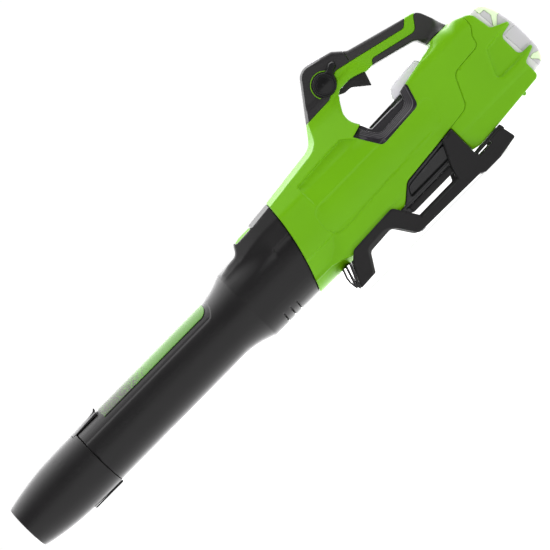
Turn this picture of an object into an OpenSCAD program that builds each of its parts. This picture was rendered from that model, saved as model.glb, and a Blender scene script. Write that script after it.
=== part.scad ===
// Cordless axial leaf blower, lying on its guard.
// Millimetres. +X runs from the nozzle to the battery, +Z is up, and the origin is on the
// ground under the middle of the machine. The air path is a straight tube along X.

/* [Air path] */
// Height of the tube and fan axis above the ground
axis_z = 98.5; // [96:0.5:101]
// Outer radius of the long tube
tube_r = 43; // [42.5:0.1:43.2]
// Outer radius of the nozzle where it sleeves the tube
nozzle_r = 44.2; // [44.1:0.1:45]
// Outer radius of the nozzle mouth
tip_r = 32.5; // [30:0.5:36]
// Outer radius of the flared collar
collar_r = 54.3; // [54:0.1:55]
// Outer radius of the fan duct that the collar slides over
duct_r = 52; // [51.5:0.1:52]
// Wall thickness of the tube, nozzle and duct
tube_wall = 2.4; // [2:0.1:2.6]
// Length of the machine ahead of the origin
nozzle_reach = 455; // [445:1:460]

/* [Fan] */
// Number of fan blades
blade_count = 9; // [5:1:11]
// Number of guide vanes behind the fan
vane_count = 7; // [5:1:9]
// Fan blade pitch in degrees
blade_pitch = 38; // [30:1:45]

/* [Body] */
// Half width of the motor housing
body_half = 57.2; // [57:0.1:58]
// Half width of the battery housing
bay_half = 55; // [54:0.5:56]
// Half width of the handle
grip_half = 19; // [18:0.5:20]
// Wall thickness of the mouldings
wall = 3; // [2.5:0.5:3]

/* [Battery] */
// Battery pack length
pack_l = 158; // [156:1:159]
// Battery pack width
pack_w = 92; // [84:1:92]
// Battery pack height
pack_h = 112; // [108:1:112]
// Upward slope of the battery towards the rear, in degrees
pack_tilt = 4; // [3.5:0.5:4]

/* [Guard] */
// Half width of the skid guard
guard_half = 60; // [59:0.5:61]
// Thickness of the guard's side frames
guard_t = 9; // [7:0.5:10]

/* [Hidden] */
$fn = 48;
eps = 0.3;
bore_gap = 0.08;
big = 200;
body_green = [0.44, 0.71, 0.10];
satin_black = [0.17, 0.17, 0.18];
gloss_black = [0.09, 0.09, 0.10];
steel = [0.70, 0.71, 0.73];
pale_grey = [0.80, 0.80, 0.81];
pale_green = [0.80, 0.90, 0.76];
lavender = [0.76, 0.75, 0.80];
copper = [0.72, 0.45, 0.20];

nozzle_rear = -324;
neck_l = 45;
flare_front = -92;
collar_front = -49;
spigot_front = -32;
duct_rear = 150;
pod_r = 27;
fan_r = 48.8;
fan_x = 126;
dial_at = [224.5, 226.7];
turbo_slope = 14.6;
trigger_at = [239, 210];
latch_at = [328, 158];
lever_at = [13, 160];
pack_at = [300, 37.4];
// each screw's x and z, and how far its boss reaches to the side
screw_spots = [
    [76, 161, 42],
    [112, 163.5, 38],
    [142, 170, 30],
    [194, 172, 28],
    [346, 158.4, 50],
    [380, 161.5, 47]
];
screw_head_y = 9;
// the rubber pads on the handle, and the step in the shell that they sit on
pad_t = 2.3;
pad_seat = 2.4;
// a rectangle that covers the whole side view
side_view = [500, 300];

// ---- Helpers ----

// Unit vector from a to b in the plane
function toward(a, b) = (b - a) / norm(b - a);
// The arc, or the bare corner, that stands for vertex p between its neighbours
function corner(before, p, after) =
    let (
        v = [p[0], p[1]],
        u = toward(v, [before[0], before[1]]),
        w = toward(v, [after[0], after[1]]),
        half = acos(max(-1, min(1, u * w))) / 2,
        r = p[2]
    )
    r == 0 || half > 89 ? [v] :
    let (
        reach = r / tan(half),
        c = v + (u + w) / norm(u + w) * r / sin(half),
        a0 = atan2((v + u * reach - c)[1], (v + u * reach - c)[0]),
        a1 = atan2((v + w * reach - c)[1], (v + w * reach - c)[0]),
        sweep = a1 - a0 > 180 ? a1 - a0 - 360 : a1 - a0 < -180 ? a1 - a0 + 360 : a1 - a0,
        steps = max(2, ceil(abs(sweep) / 15))
    )
    [for (i = [0:steps]) c + r * [cos(a0 + sweep * i / steps), sin(a0 + sweep * i / steps)]];
// An outline given as [x, z, corner radius], with its corners rounded
function rounded(pts) = [
    for (i = [0:len(pts) - 1])
        each corner(pts[(i + len(pts) - 1) % len(pts)], pts[i], pts[(i + 1) % len(pts)])
];

// A side-view outline (x, z) made into a slab from y0 to y1
module slab(y0, y1) {
    translate([0, y1, 0])
        rotate([90, 0, 0])
            linear_extrude(height = y1 - y0) children();
}
// A front-view outline (y, z) swept along X
module sweep_x(x0, x1) {
    translate([x0, 0, 0])
        rotate([90, 0, 90])
            linear_extrude(height = x1 - x0) children();
}
// A cylinder along the air path
module rod_x(x, l, r) {
    translate([x, 0, axis_z]) rotate([0, 90, 0]) cylinder(h = l, r = r, $fn = 96);
}
// A ring along the air path
module ring_x(x, l, r_out, r_in) {
    difference() {
        rod_x(x, l, r_out);
        rod_x(x - 1, l + 2, r_in);
    }
}
// A profile of [x, r] points revolved about the air path
module turned(profile) {
    translate([0, 0, axis_z])
        rotate([0, 90, 0])
            rotate_extrude($fn = 96) polygon([for (p = profile) [p[1], p[0]]]);
}
// A cylinder across the machine
module rod_y(x, z, y0, y1, r) {
    translate([x, y1, z]) rotate([90, 0, 0]) cylinder(h = y1 - y0, r = r);
}
// A box centred on Y
module block(x0, x1, half, z0, z1) {
    translate([x0, -half, z0]) cube([x1 - x0, 2 * half, z1 - z0]);
}
// A coil spring drawn as its outer sleeve
module spring(h, r, wire) {
    difference() {
        cylinder(h = h, r = r);
        translate([0, 0, -1]) cylinder(h = h + 2, r = r - wire);
    }
}
// Children drawn in the battery's own tilted frame
module pack_frame() {
    translate([pack_at[0], 0, pack_at[1]]) rotate([0, -pack_tilt, 0]) children();
}

// ---- Outlines ----

// The joint between the collar and the housing leans back and bows rearward
function seam_x(z) =
    let (t = (z - 45) / 126)
    31.3 + 53.4 * t - 22.8 * t * t;
seam = [for (z = [40:10:180]) [seam_x(z), z]];

// Nozzle radius along its length, blunt at the mouth
function nozzle_radius(u) = tip_r + (nozzle_r - tip_r) * (1 - pow(1 - u, 2.8));

parting = [
    [411.3, 165.5, 0],
    [409.8, 146, 14],
    [401, 134.5, 8],
    [398.5, 121.5, 9],
    [351, 118, 14],
    [331, 76, 14],
    [297.4, 72, 0]
];

main_outline = concat(
    [for (p = seam) if (p[1] > 43 && p[1] < 172) [p[0], p[1], 0]],
    [
        [62.2, 173.5, 0],
        [152.5, 183.8, 25],
        [214.3, 264.2, 15],
        [261, 252, 8],
        [277, 237.8, 12],
        [376.6, 209.9, 17],
        [393.6, 171.5, 6]
    ],
    parting,
    [
        [209, 63.5, 12],
        [180.5, 39.3, 3],
        [95, 38.6, 6],
        [50, 40.6, 20],
        [33, 43.6, 0]
    ]
);

hand_hole = [
    [226, 147.6, 2],
    [209.5, 176, 24],
    [227, 203.5, 10],
    [288, 200.6, 24],
    [349.5, 184.2, 9],
    [355.2, 166.8, 3],
    [334, 161, 4],
    [298, 154, 2],
    [272, 149, 0]
];

valley = [
    [201, 153, 0],
    [221.5, 118.4, 8],
    [289, 122.2, 9],
    [298.2, 150, 0],
    [296, 156, 0],
    [219, 158, 0]
];

vent_outline = [
    [201.6, 152.8, 0],
    [221.7, 118.8, 8],
    [288.8, 122.5, 9],
    [297.9, 150, 0],
    [295.8, 155.6, 0],
    [219.2, 157.6, 0]
];

bay_outline = concat(
    [for (i = [len(parting) - 1:-1:0]) parting[i]],
    [
        [425.5, 158, 16],
        [425.5, 126, 5],
        [447, 116, 2.2],
        [446.5, 111.8, 2],
        [427.3, 108, 7],
        [427.3, 75, 7],
        [447.5, 74.6, 2],
        [446.5, 70.4, 2],
        [425.7, 62.5, 5],
        [425.7, 38.4, 7],
        [297.4, 27.4, 5]
    ]
);

cover_outline = [
    [171.5, 207.6, 0],
    [216, 208.9, 6],
    [246, 230.5, 10],
    [268.5, 225.2, 0],
    [276.5, 262, 0],
    [205, 270, 0],
    [160, 215, 0]
];

top_pad_outline = [
    [269, 225.2, 0],
    [349, 205.6, 6],
    [358, 213.8, 3],
    [366, 222, 0],
    [277, 262, 0]
];

lower_pad_outline = [
    [283.5, 196, 0],
    [292, 207.8, 6],
    [357, 192.3, 10],
    [369, 208, 4],
    [382, 214, 0],
    [402, 170.5, 0],
    [372, 169.2, 8],
    [340, 169.8, 0],
    [340, 182, 0]
];

guard_outline = [
    [71.5, 26, 4],
    [70.8, 8.8, 2],
    [97.4, 10, 3],
    [112.5, 33.4, 8],
    [153.5, 35.6, 12],
    [173, 5.8, 9],
    [283, 3.8, 2],
    [289.5, 0, 2],
    [316, 0, 6],
    [348.6, 5.2, 3],
    [344, 27.4, 9],
    [296.8, 25.2, 1],
    [296.8, 70.8, 1],
    [278, 68.2, 2],
    [266, 44, 12],
    [255.5, 20.9, 3],
    [191, 20.6, 4],
    [170.5, 53.9, 7],
    [98, 50.8, 6],
    [86, 37, 3]
];

pack_outline = [
    [0, 0, 4],
    [pack_l - 12, 0, 14],
    [pack_l - 3, 19, 24],
    [pack_l, 60, 40],
    [pack_l - 4, 92, 30],
    [pack_l - 13, pack_h, 14],
    [0, pack_h, 6]
];

latch_outline = [
    [274, 151, 2],
    [285.5, 164.6, 7],
    [330, 167.2, 6],
    [334.6, 158.6, 4],
    [324, 154.2, 2],
    [290.4, 153.6, 1],
    [290.4, 139, 0],
    [287.4, 137, 0],
    [284, 150.5, 1]
];

trigger_outline = [
    [232.5, 202, 2],
    [247.5, 202, 10],
    [268, 183.2, 1.2],
    [275, 203.5, 1],
    [275.4, 214, 3],
    [233, 214.6, 4]
];

// ---- Front views ----

// The main body seen from the front: round below, shouldered above, slim at the handle
module body_section(inset) {
    half = body_half - inset;
    translate([0, axis_z]) circle(r = half, $fn = 96);
    polygon([
        [-half, axis_z], [-half + 1.2, 135], [-half + 7, 155 - inset], [-38 + inset, 167 - inset],
        [-25 + inset, 176 - inset], [-grip_half + inset, 188], [-grip_half + inset, 256 - inset],
        [-grip_half + 8, 268 - inset], [grip_half - 8, 268 - inset],
        [grip_half - inset, 256 - inset], [grip_half - inset, 188], [25 - inset, 176 - inset],
        [38 - inset, 167 - inset], [half - 7, 155 - inset], [half - 1.2, 135], [half, axis_z]
    ]);
}
// The squarer belly that the guard closes on
module belly_section(inset) {
    half = body_half - inset;
    polygon(rounded([
        [-half, 100, 0], [-half, 46 + inset, 14 - inset], [half, 46 + inset, 14 - inset],
        [half, 100, 0]
    ]));
}
// The battery housing seen from the rear
module bay_section(inset) {
    half = bay_half - inset;
    polygon(rounded([
        [-half, 27 + inset, 16 - inset], [half, 27 + inset, 16 - inset],
        [half, 172 - inset, 22 - inset], [-half, 172 - inset, 22 - inset]
    ]));
}

// ---- Housing ----

module main_prism(inset) {
    slab(-big, big) offset(delta = -inset) polygon(rounded(main_outline));
}
module main_body(inset) {
    intersection() {
        main_prism(inset);
        union() {
            sweep_x(20, 300) body_section(inset);
            sweep_x(300, 420) {
                bay_section(inset);
                translate([-grip_half + inset, 150]) square([2 * (grip_half - inset), 120]);
            }
            sweep_x(86, 300) belly_section(inset);
        }
    }
}
module handle_openings() {
    slab(-big, big) polygon(rounded(hand_hole));
    slab(-big, big) polygon(rounded(valley));
}
module pack_space(clear) {
    pack_frame() {
        translate([-clear, -pack_w / 2 - clear, -clear])
            cube([pack_l + 60, pack_w + 2 * clear, pack_h + 2 * clear]);
    }
}
// What lies inside the body, a depth below its skin and clear of the hand hole
module core(depth) {
    intersection() {
        main_body(depth);
        slab(-big, big)
            difference() {
                square(side_view);
                offset(delta = depth) polygon(rounded(hand_hole));
            }
    }
}
// Everything that is cut out of the two main shells
module shell_cuts() {
    handle_openings();
    slab(-big, big) polygon(rounded(cover_outline));
    difference() {
        main_body(wall);
        slab(-big, big) offset(delta = wall) polygon(rounded(hand_hole));
        slab(-big, big) offset(delta = wall) polygon(rounded(valley));
        handle_pads_zone();
    }
    intersection() {
        core(wall + pad_seat);
        handle_pads_zone();
    }
    difference() {
        handle_pads_zone();
        core(pad_seat);
    }
    // the tunnel for the air duct, the trigger slot and the release lever's slot
    rod_x(0, 110, duct_r + 2.2);
    block(231, 279, 9.7, 196, 213);
    block(268, 337, 15, 140, 180);
    pack_space(0.6);
    pack_frame() block(-11.4, 1, 44, 18, 82);
    // the flat mouth that the air scoop fills
    block(188, 277, 51, 30, 60);
}
module handle_pads_zone() {
    slab(-big, big) polygon(rounded(top_pad_outline));
    slab(-big, big) polygon(rounded(lower_pad_outline));
}
module main_shell(side) {
    difference() {
        union() {
            difference() {
                intersection() {
                    main_body(0);
                    translate([0, side > 0 ? 0.1 : -big - 0.1, 0]) cube([500, big, 300]);
                }
                shell_cuts();
            }
            for (p = screw_spots)
                rod_y(p[0], p[1], side > 0 ? 0.1 : -p[2], side > 0 ? p[2] : -0.1, 4.8);
        }
        for (p = screw_spots) {
            rod_y(p[0], p[1], screw_head_y, 80, 3.4);
            rod_y(p[0], p[1], -14, 20, 1.6);
        }
    }
}
module housing_left() {
    color(body_green) main_shell(-1);
}
module housing_right() {
    color(body_green) main_shell(1);
}
// Screws driven from the right side, sunk below the face
module housing_screws() {
    color(steel)
        for (p = screw_spots) {
            rod_y(p[0], p[1], screw_head_y, screw_head_y + 3, 3);
            rod_y(p[0], p[1], -12, screw_head_y, 1.5);
        }
}
module battery_housing() {
    color(body_green)
        difference() {
            intersection() {
                slab(-big, big) offset(delta = -0.15) polygon(rounded(bay_outline));
                sweep_x(290, 450) bay_section(0);
            }
            pack_space(0.6);
            intersection() {
                slab(-big, big) offset(delta = -wall) polygon(rounded(bay_outline));
                sweep_x(290, 340) bay_section(wall);
                block(290, 318, big, 0, 200);
            }
        }
    color(body_green) rod_y(399, 35.2, -12, 12, 3);
}

// ---- Handle ----

module control_cover() {
    color(satin_black)
        difference() {
            intersection() {
                main_body(0);
                slab(-big, big) offset(delta = -0.15) polygon(rounded(cover_outline));
            }
            intersection() {
                main_body(wall);
                slab(-big, big) polygon(rounded(cover_outline));
            }
            rod_y(dial_at[0], dial_at[1], -40, 0, 5.2);
            turbo_frame() translate([-13.6, -6.1, -8]) cube([27.2, 12.2, 20]);
        }
}
module pad_skin(outline) {
    difference() {
        intersection() {
            main_body(0);
            slab(-big, big) offset(delta = -0.15) polygon(rounded(outline));
        }
        slab(-big, big) polygon(rounded(hand_hole));
        core(pad_t);
    }
}
module grip_top_pad() {
    color(satin_black) pad_skin(top_pad_outline);
}
module grip_lower_pad() {
    color(satin_black) pad_skin(lower_pad_outline);
}
module trigger() {
    color(satin_black)
        difference() {
            slab(-9, 9) polygon(rounded(trigger_outline));
            rod_y(trigger_at[0], trigger_at[1], -20, 20, 2 + bore_gap);
        }
}
module trigger_pin() {
    color(steel) rod_y(trigger_at[0], trigger_at[1], -grip_half + wall, grip_half - wall, 2);
}
module trigger_spring() {
    color(steel) translate([262, 0, 214.3]) spring(6.5, 3, 0.8);
}
module trigger_switch() {
    color(gloss_black) {
        block(246, 272, 8, 221.2, 232);
        block(272, 276, 4, 223, 230);
    }
}
module turbo_frame() {
    translate([238.5, 0, 257.9]) rotate([0, turbo_slope, 0]) children();
}
module turbo_button() {
    color(lavender)
        turbo_frame()
            difference() {
                translate([-13.2, -5.7, -5])
                    cube([26.4, 11.4, 6.4]);
                translate([-14, -7, 0.9]) rotate([0, -30, 0]) translate([-6, 0, 0]) cube([6, 14, 4]);
            }
}
module turbo_spring() {
    color(steel) turbo_frame() translate([0, 0, -12]) spring(6.9, 2.4, 0.6);
}
module turbo_switch() {
    color(gloss_black) turbo_frame() translate([-8, -5, -18]) cube([16, 10, 6]);
}
module cruise_dial() {
    color(gloss_black) {
        rod_y(dial_at[0], dial_at[1], -27.5, -19.4, 15.6);
        rod_y(dial_at[0], dial_at[1], -19.4, -6, 5.2 - bore_gap);
        slab(-26, -20.5)
            polygon(rounded([
                [226, 240.6, 0], [246, 246.4, 4], [255.4, 242.2, 2], [250, 233.4, 3],
                [238, 224, 0]
            ]));
    }
}
module dial_ring() {
    color(body_green)
        difference() {
            rod_y(dial_at[0], dial_at[1], -20.2, -grip_half - 0.02, 19.6);
            rod_y(dial_at[0], dial_at[1], -30, 0, 17.4);
        }
}
module cruise_sensor() {
    color(gloss_black) rod_y(dial_at[0], dial_at[1], -5.7, 6, 9);
}
// The ribbed insert that lines the saddle under the hand: five terraces each side
module saddle_vent() {
    color(gloss_black)
        difference() {
            intersection() {
                slab(-big, big) polygon(rounded(vent_outline));
                union() {
                    for (i = [0:4])
                        block(195, 300, body_half - 1.2 - 4.6 * i, 100, 123 + 6.1 * i);
                    block(195, 224, 36, 100, 158);
                }
            }
            slab(-big, big) polygon(rounded(hand_hole));
            // slot for the battery release and its tail
            block(268, 310, 15.6, 132.8, 180);
            block(232, 282, 30, 110, 141);
            pack_space(0.8);
        }
}

// ---- Fan and motor ----

module fan_duct() {
    color(satin_black)
        difference() {
            union() {
                rod_x(spigot_front, duct_rear - spigot_front, duct_r);
                rod_x(72, 4, duct_r + 2);
                rod_x(104, 4, duct_r + 2);
            }
            rod_x(spigot_front - 1, duct_rear - spigot_front + 2, duct_r - tube_wall);
        }
}
module motor_pod() {
    color(satin_black) {
        ring_x(16, 88, pod_r, pod_r - 2.5);
        for (i = [0:vane_count - 1])
            translate([28, 0, axis_z])
                rotate([i * 360 / vane_count + 13, 0, 0])
                    translate([0, -1, pod_r - 1])
                        cube([62, 2, duct_r - tube_wall - pod_r + 0.95]);
    }
}
// The pointed tail smooths the flow off the motor
module tail_cone() {
    color(satin_black)
        turned(concat(
            [[-34, 0]],
            [for (i = [1:8]) [-34 + 50 * i / 8, pod_r * sqrt(i / 8)]],
            [[16, pod_r - 2.7], [22, pod_r - 2.7], [22, 0]]
        ));
}
module motor_stator() {
    color(steel) ring_x(36, 34, pod_r - 2.7, 13.6);
}
module stator_windings() {
    color(copper) {
        ring_x(31, 4.8, 22.5, 14.5);
        ring_x(70.2, 4.8, 22.5, 14.5);
    }
}
module motor_rotor() {
    color(steel) ring_x(37, 32, 12.8, 3);
}
module motor_shaft() {
    color(steel) rod_x(23, 117, 3);
}
module bearing(x) {
    ring_x(x, 5, pod_r - 2.7, 3 + bore_gap);
}
module front_bearing() {
    color(steel) bearing(24);
}
module rear_bearing() {
    color(steel) bearing(92);
}
module fan_impeller() {
    color(gloss_black)
        difference() {
            union() {
                rod_x(fan_x - 16, 30, 25);
                intersection() {
                    for (i = [0:blade_count - 1])
                        translate([fan_x - 1, 0, axis_z])
                            rotate([i * 360 / blade_count, 0, 0])
                                rotate([0, 0, blade_pitch])
                                    translate([-16, -1.1, 20]) cube([32, 2.2, 30]);
                    rod_x(fan_x - 18, 34, fan_r);
                }
            }
            rod_x(fan_x - 30, 60, 3);
        }
}
module fan_spinner() {
    color(gloss_black)
        turned(concat(
            [[142, 0], [140.1, 0], [140.1, 24]],
            [for (i = [1:8]) [142 + 22 * sin(90 * i / 8), 25 * cos(90 * i / 8)]]
        ));
}
module inlet_bell() {
    color(satin_black)
        turned([
            [duct_rear + 0.1, 49.6], [158, 50], [166, 51.4], [172, 53.6], [172, 54],
            [164, 53.6], [duct_rear + 0.1, 52]
        ]);
}

// ---- Tube and nozzle ----

module nozzle_tip() {
    steps = 16;
    l = nozzle_reach + nozzle_rear;
    outer = [for (i = [0:steps]) [-nozzle_reach + l * i / steps, nozzle_radius(i / steps)]];
    inner = [
        for (i = [steps - 6:-1:2])
            [-nozzle_reach + l * i / steps, nozzle_radius(i / steps) - tube_wall]
    ];
    color(satin_black)
        difference() {
            turned(concat(
                [[-nozzle_reach + 0.8, tip_r - 1.6], [-nozzle_reach, tip_r - 0.8]],
                outer,
                [[nozzle_rear, tube_r - 1], [nozzle_rear - neck_l - 1, tube_r - 1]],
                inner,
                [[-nozzle_reach + 14, tip_r - tube_wall], [-nozzle_reach + 0.8, tip_r - tube_wall]]
            ));
            // room for the latch tongue's root
            translate([nozzle_rear - 6, -19, axis_z + 36]) cube([10, 38, 20]);
        }
}
module nozzle_latch() {
    color(satin_black)
        intersection() {
            union() {
                translate([0, 0, axis_z])
                    rotate([0, 90, 0])
                        translate([0, 0, nozzle_rear - 5.7])
                            difference() {
                                cylinder(h = 44, r1 = 44.2, r2 = 46.2, $fn = 96);
                                translate([0, 0, -1]) cylinder(h = 46, r = tube_r + eps, $fn = 96);
                            }
                slab(-12, 12)
                    polygon(rounded([
                        [-296, 143.4, 0], [-288, 144.4, 3], [-283.4, 148.6, 0.6],
                        [-284.6, 143.2, 1], [-291, 141.9, 0]
                    ]));
            }
            block(nozzle_rear - 5.7, -283, 18.7, axis_z + 36, 150);
        }
}
module nozzle_wear_strip() {
    color(gloss_black)
        difference() {
            block(-376, nozzle_rear + 1, 5, 52.2, 55.6);
            rod_x(-390, 80, nozzle_r + 0.1);
        }
}
module blower_tube() {
    flare = [
        for (i = [0:8])
            let (u = i / 8)
            [
                flare_front + (collar_front - flare_front) * u,
                tube_r + (collar_r - tube_r) * (0.35 * u + 0.65 * u * u)
            ]
    ];
    color(satin_black)
        difference() {
            union() {
                turned(concat(
                    [
                        [nozzle_rear - neck_l, tube_r - 1 - tube_wall],
                        [nozzle_rear - neck_l, tube_r - 1 - bore_gap],
                        [nozzle_rear + 0.3, tube_r - 1 - bore_gap], [nozzle_rear + 0.3, tube_r]
                    ],
                    flare,
                    [[66, collar_r], [66, duct_r + bore_gap], [spigot_front - 1, duct_r + bore_gap]],
                    [
                        for (i = [8:-1:0])
                            [flare[i][0] + 1.5, flare[i][1] - tube_wall - (i == 8 ? 0.4 : 0)]
                    ]
                ));
                collar_block();
            }
            // rear edge follows the bowed joint with the housing
            slab(-big, big)
                polygon(concat(
                    [for (p = seam) [p[0] - 0.5, p[1]]],
                    [[120, 180], [120, 40]]
                ));
            // well for the release lever
            block(-4.5, 26.5, 9.2, 154, 180);
            block(24, 42, 6.5, 154.6, 165.4);
            rod_y(lever_at[0], lever_at[1], -14, 14, 1.6);
            for (i = [0:2])
                intersection() {
                    ring_x(-29 + 13 * i, 2.2, collar_r + 2, collar_r - 0.9);
                    block(-40, 20, big, 30, 57);
                }
        }
}
// The raised block on the collar that carries the release lever
module collar_block() {
    difference() {
        intersection() {
            slab(-30, 30)
                polygon(rounded([
                    [-40, 140, 0], [-30, 152.4, 8], [-14, 154, 12], [-5.5, 166, 2],
                    [16, 168.4, 4], [70, 174.4, 0], [70, 140, 0]
                ]));
            sweep_x(-40, 70)
                polygon([
                    [-30, 140], [-30, 158], [-23, 168], [-15, 176], [15, 176], [23, 168],
                    [30, 158], [30, 140]
                ]);
        }
        rod_x(-50, 130, duct_r + bore_gap);
        // the walls dip beside the lever, so that a finger can reach it
        for (side = [-1, 1])
            translate([-3, side * 20 - 11.2, 164.2]) cube([27, 22.4, 20]);
    }
}
module tube_decal() {
    color([0.55, 0.75, 0.38])
        intersection() {
            ring_x(-281, 190, tube_r + 0.75, tube_r + 0.02);
            linear_extrude(height = 200)
                polygon(rounded([
                    [-281, -30.5, 12], [-281, 30.5, 12], [-91, 30.5, 12], [-91, -30.5, 12]
                ]));
            block(-282, -90, 40, axis_z + 20, 160);
        }
}
module release_lever() {
    color(body_green)
        difference() {
            union() {
                slab(-8.7, 8.7)
                    polygon(rounded([
                        [-3.8, 158, 1], [-3.8, 165.4, 2], [8, 168.4, 6], [22, 168.2, 3],
                        [25.4, 165.6, 1], [25.4, 158, 1]
                    ]));
                block(20, 37, 5.5, 158.4, 161.4);
                block(33, 37, 5.5, 155.4, 160);
            }
            rod_y(lever_at[0], lever_at[1], -20, 20, 1.5 + bore_gap);
        }
}
module release_pin() {
    color(steel) rod_y(lever_at[0], lever_at[1], -13.8, 13.8, 1.5);
}
module release_spring() {
    color(steel) translate([1, 0, 154.1]) spring(3.6, 2.4, 0.6);
}

// ---- Intake, guard ----

// The glossy scoop that turns the air from the belly up to the fan
module intake_scoop() {
    color(gloss_black)
        difference() {
            slab(-50.6, 50.6)
                polygon(rounded([
                    [189, 38.6, 2], [205, 58, 10], [268, 62.5, 6], [262, 38.6, 3]
                ]));
            slab(-47, 47)
                polygon(rounded([
                    [195, 30, 2], [209, 55, 8], [262, 59.4, 4], [256, 30, 3]
                ]));
            slab(-60, 60)
                polygon(rounded([
                    [203, 47.5, 2], [211, 54, 4], [259, 57.5, 4], [257, 47.5, 2]
                ]));
            // mouth that feeds the fan
            block(212, 258, 44, 50, 80);
        }
}
module intake_grille() {
    color(satin_black)
        difference() {
            block(187.5, 261.5, 50.6, 29.2, 38.3);
            for (i = [0:4])
                for (j = [0:2])
                    translate([192 + 13.4 * i, -46 + 31.4 * j, 20]) cube([10.4, 28.4, 30]);
        }
}
module guard_side(side) {
    y0 = side > 0 ? guard_half - guard_t : -guard_half;
    difference() {
        slab(y0, y0 + guard_t) polygon(rounded(guard_outline));
        // the upper lip laps the housing and the rear foot clears the battery housing
        block(60, 190, body_half + eps, 45.6, 80);
    }
}
module intake_guard() {
    inner = guard_half - guard_t;
    color(satin_black) {
        guard_side(1);
        guard_side(-1);
        block(176, 186, inner + 0.1, 5.6, 12);
        block(226, 234, inner + 0.1, 5.6, 11);
        block(284, 296, inner + 0.1, 1.4, 20);
        block(334, 343, inner + 0.1, 4.8, 18);
        for (side = [-1, 1])
            translate([186, side * 30 - 3, 6]) cube([100, 6, 5]);
    }
}
// Three curved slats close the front between the feet
module guard_slats() {
    color(satin_black)
        intersection() {
            for (i = [0:2])
                translate([150 + 6 * i, 0, 36])
                    rotate([90, 0, 0])
                        translate([0, 0, -(guard_half - guard_t)])
                            difference() {
                                cylinder(h = 2 * (guard_half - guard_t), r = 84.6, $fn = 96);
                                translate([0, 0, -1])
                                    cylinder(h = 2 * (guard_half - guard_t) + 2, r = 82.6, $fn = 96);
                            }
            slab(-big, big) polygon([[60, 9.4], [82, 9.4], [88, 37.6], [60, 37.6]]);
        }
}
module guard_bolts() {
    color(steel)
        for (x = [181, 290])
            for (side = [-1, 1])
                translate([x, side * 38, x < 200 ? 4.2 : 0.6])
                    difference() {
                        cylinder(h = x < 200 ? 1.3 : 0.7, r = 4);
                        translate([0, 0, -1]) cylinder(h = 1.4, r = 1.6, $fn = 6);
                    }
}

// ---- Battery ----

module battery_case() {
    color(pale_grey)
        difference() {
            pack_frame()
                difference() {
                    intersection() {
                        slab(-pack_w / 2, pack_w / 2) polygon(rounded(pack_outline));
                        block(-1, pack_l - 22, pack_w, -1, pack_h + 1);
                    }
                    block(4, pack_l - 26, pack_w / 2 - 3, 4, pack_h - 4);
                    for (y = [-18, 0, 18])
                        translate([-1, y - 2, 30]) cube([10, 4, 50]);
                }
        }
}
module battery_end_cap() {
    color(pale_green)
        pack_frame()
            difference() {
                intersection() {
                    slab(-pack_w / 2, pack_w / 2) polygon(rounded(pack_outline));
                    block(pack_l - 21.8, pack_l + 5, pack_w, -1, pack_h + 1);
                }
                block(pack_l - 22, pack_l - 15, pack_w / 2 - 3, 4, pack_h - 4);
                end_pad_zone(0.2);
            }
}
module end_pad_zone(grow) {
    for (side = [-1, 1])
        translate([pack_l - 14 - grow, side * 50 - 13 - grow, 40 - grow])
            cube([30, 26 + 2 * grow, 34 + 2 * grow]);
    translate([pack_l - 10 - grow, -20 - grow, 82 - grow])
        cube([30, 40 + 2 * grow, 16 + 2 * grow]);
}
module battery_end_pads() {
    color(lavender)
        pack_frame()
            intersection() {
                slab(-pack_w / 2, pack_w / 2) polygon(rounded(pack_outline));
                end_pad_zone(0);
            }
}
module battery_cells() {
    color(steel)
        pack_frame()
            for (i = [0:4])
                for (j = [0:2])
                    translate([20 + 22 * i, -36, 22 + 26 * j])
                        rotate([-90, 0, 0]) cylinder(h = 72, r = 10.4);
}
module battery_sockets() {
    color(copper)
        pack_frame()
            for (y = [-18, 0, 18])
                for (side = [-1, 1])
                    translate([4.2, y + side * 1.5 - 0.4, 34]) cube([4.4, 0.8, 40]);
}
module battery_release() {
    color(lavender)
        difference() {
            slab(-14, 14) polygon(rounded(latch_outline));
            rod_y(latch_at[0], latch_at[1], -20, 20, 1.5 + bore_gap);
        }
}
module release_axle() {
    color(steel) rod_y(latch_at[0], latch_at[1], -15, 15, 1.5);
}
module battery_spring() {
    color(steel) translate([300, 0, 151.2]) spring(2.2, 2.4, 0.6);
}
module terminal_block() {
    color(gloss_black)
        pack_frame()
            difference() {
                block(-10.5, -1.8, 43, 20, 80);
                for (y = [-18, 0, 18])
                    translate([-20, y - 0.6, 36]) cube([30, 1.2, 36]);
            }
}
module terminal_blades() {
    color(copper)
        pack_frame()
            for (y = [-18, 0, 18])
                translate([-10.5, y - 0.5, 36.2]) cube([14, 1, 35.6]);
}
module controller_board() {
    color([0.10, 0.32, 0.18])
        difference() {
            block(186, 266, 34, 99, 100.6);
            for (x = [191, 261])
                for (side = [-1, 1])
                    translate([x, side * 29, 98]) cylinder(h = 4, r = 1.6);
        }
}
module heat_sink() {
    color([0.75, 0.76, 0.78])
        for (i = [0:7])
            translate([198, -29 + 8 * i, 84]) cube([56, 2, 11]);
    color([0.75, 0.76, 0.78]) block(198, 254, 29, 95, 98.9);
}

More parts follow.
